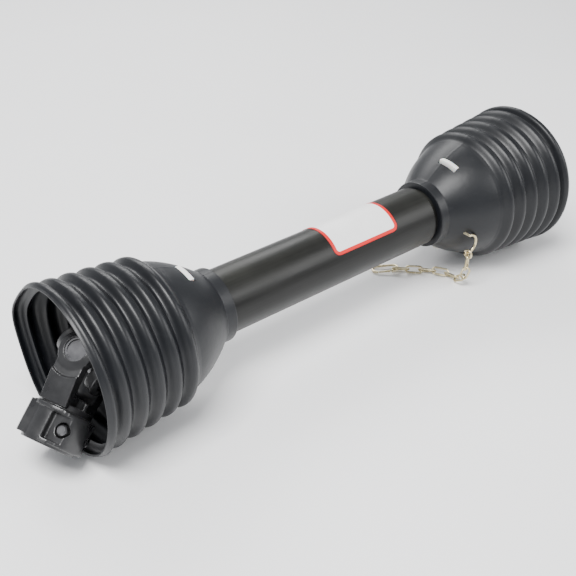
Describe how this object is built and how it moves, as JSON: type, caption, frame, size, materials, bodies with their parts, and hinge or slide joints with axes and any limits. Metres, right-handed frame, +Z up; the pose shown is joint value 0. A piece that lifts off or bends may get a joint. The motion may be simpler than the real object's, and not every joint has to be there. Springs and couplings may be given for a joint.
{
  "type": "universal joint shaft",
  "caption": "Guarded power take-off shaft: a universal joint at each end of telescoping profile tubes, inside a telescoping plastic guard with ribbed cones and a safety chain.",
  "frame": {"origin": "on the shaft axis, halfway between the mouths of the two guard cones", "axes": "+X along the shaft from the near cone to the far cone, +Z up as the shaft lies on the rims of its cones"},
  "size_m": [0.7792, 0.18, 0.18],
  "materials": {
    "cone_plastic": "semi-gloss black moulded polyethylene with a faint blue cast",
    "tube_plastic": "satin black extruded plastic",
    "white_nylon": "moulded white nylon",
    "label_film": "blank white vinyl film with a plain red border",
    "black_steel": "black paint over forged steel, worn at the edges",
    "bright_steel": "ground and turned steel",
    "seal_rubber": "matt black rubber",
    "yellow_zinc": "yellow zinc plating"
  },
  "bodies": {
    "near_guard": {"outer_guard_tube": "tube_plastic", "near_guard_cone": "cone_plastic", "near_bearing_ring": "white_nylon", "guard_label": "label_film"},
    "far_guard": {"inner_guard_tube": "tube_plastic", "far_guard_cone": "cone_plastic", "far_bearing_ring": "white_nylon", "chain_hook": "yellow_zinc", "chain_ring": "yellow_zinc", "chain_links": "yellow_zinc", "snap_hook": "yellow_zinc"},
    "snap_gate_body": {"snap_gate": "yellow_zinc"},
    "near_shaft": {"near_tube_yoke": "black_steel", "outer_profile_tube": "black_steel", "near_roll_pin": "bright_steel", "near_tube_cups": "bright_steel", "near_tube_needles": "bright_steel", "near_tube_snap_rings": "bright_steel"},
    "near_spider": {"near_cross": "bright_steel", "near_cross_seals": "seal_rubber", "near_grease_nipple": "yellow_zinc"},
    "near_yoke": {"near_end_yoke": "black_steel", "near_end_cups": "bright_steel", "near_end_needles": "bright_steel", "near_end_snap_rings": "bright_steel", "near_pin_spring": "bright_steel", "near_pin_cap": "bright_steel"},
    "near_pin": {"near_push_pin": "bright_steel"},
    "far_shaft": {"far_tube_yoke": "black_steel", "inner_profile_tube": "black_steel", "far_roll_pin": "bright_steel", "far_tube_cups": "bright_steel", "far_tube_needles": "bright_steel", "far_tube_snap_rings": "bright_steel"},
    "far_spider": {"far_cross": "bright_steel", "far_cross_seals": "seal_rubber", "far_grease_nipple": "yellow_zinc"},
    "far_yoke": {"far_end_yoke": "black_steel", "far_end_cups": "bright_steel", "far_end_needles": "bright_steel", "far_end_snap_rings": "bright_steel", "far_pin_spring": "bright_steel", "far_pin_cap": "bright_steel"},
    "far_pin": {"far_push_pin": "bright_steel"}
  },
  "joints": [
    {"name": "shaft_spin", "type": "hinge", "parent": "near_guard", "child": "near_shaft", "pos_m": [0, 0, 0], "axis": [1, 0, 0], "continuous": true},
    {"name": "tube_telescope", "type": "slide", "parent": "near_shaft", "child": "far_shaft", "axis": [1, 0, 0], "range_m": [0, 0.15]},
    {"name": "guard_telescope", "type": "slide", "parent": "near_guard", "child": "far_guard", "axis": [1, 0, 0], "range_m": [0, 0.15]},
    {"name": "near_joint_tilt", "type": "hinge", "parent": "near_shaft", "child": "near_spider", "pos_m": [-0.302, 0, 0], "axis": [0, -0.9397, -0.342], "range_deg": [-68.79, 1.21]},
    {"name": "near_joint_swing", "type": "hinge", "parent": "near_spider", "child": "near_yoke", "pos_m": [-0.302, 0, 0], "axis": [0.5561, 0.2843, -0.781], "range_deg": [-0.9, 54.1]},
    {"name": "near_pin_push", "type": "slide", "parent": "near_yoke", "child": "near_pin", "axis": [0.5807, 0.219, -0.7841], "range_m": [0, 0.007], "stiffness_N_per_m": 2000, "springref_m": -0.004, "deforming": ["near_pin_spring"]},
    {"name": "far_joint_tilt", "type": "hinge", "parent": "far_shaft", "child": "far_spider", "pos_m": [0.302, 0, 0], "axis": [0, -0.9397, -0.342], "range_deg": [-1.21, 68.79]},
    {"name": "far_joint_swing", "type": "hinge", "parent": "far_spider", "child": "far_yoke", "pos_m": [0.302, 0, 0], "axis": [-0.5561, 0.2843, -0.781], "range_deg": [-54.1, 0.9]},
    {"name": "far_pin_push", "type": "slide", "parent": "far_yoke", "child": "far_pin", "axis": [-0.5807, 0.219, -0.7841], "range_m": [0, 0.007], "stiffness_N_per_m": 2000, "springref_m": -0.004, "deforming": ["far_pin_spring"]},
    {"name": "snap_gate_swing", "type": "hinge", "parent": "far_guard", "child": "snap_gate_body", "pos_m": [0.13986, 0.02238, -0.08556], "axis": [0.0801, -0.0672, -0.9945], "range_deg": [0, 30], "stiffness_Nm_per_rad": 0.05, "springref_deg": -11.46}
  ],
  "couplings": [
    {"joint": "guard_telescope", "follows": "tube_telescope", "ratio": 1}
  ]
}
